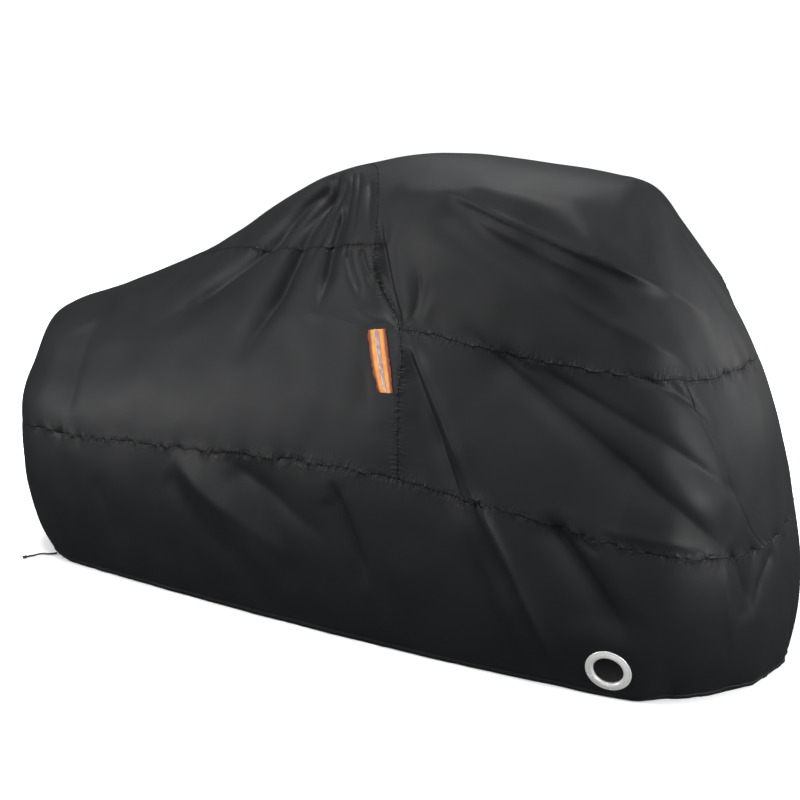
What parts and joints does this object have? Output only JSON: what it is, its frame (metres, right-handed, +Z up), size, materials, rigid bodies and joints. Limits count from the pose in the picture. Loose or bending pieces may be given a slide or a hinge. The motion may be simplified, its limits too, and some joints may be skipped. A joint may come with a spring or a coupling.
{
  "type": "bicycle cover",
  "caption": "Fitted cloth cover in the shape in which it hangs over a parked bicycle, with a gathered hem, a lock eyelet and reflective tape.",
  "frame": {"origin": "underside of the roof on the middle plane, where the bicycle inside holds the cover up", "axes": "+Z up, +X to the nose, where the handlebar and the front wheel are, +Y to the side without the eyelet and the tape"},
  "size_m": [2.1919, 0.8466, 1.0917],
  "materials": {
    "cloth": "black polyester with a soft sheen",
    "eyelet": "bright plated metal",
    "tape": "orange woven tape",
    "stripe": "grey reflective film",
    "cord": "black braided cord"
  },
  "bodies": {
    "root": {"panel_tail": "cloth", "panel_saddle": "cloth", "panel_hood": "cloth", "panel_side_near": "cloth", "panel_side_far": "cloth", "panel_nose": "cloth", "skirt_near": "cloth", "skirt_far": "cloth", "lock_eyelet": "eyelet", "reflective_tape": "tape", "tape_stripe": "stripe", "drawcord": "cord", "drawcord_knot": "cord"}
  },
  "joints": []
}
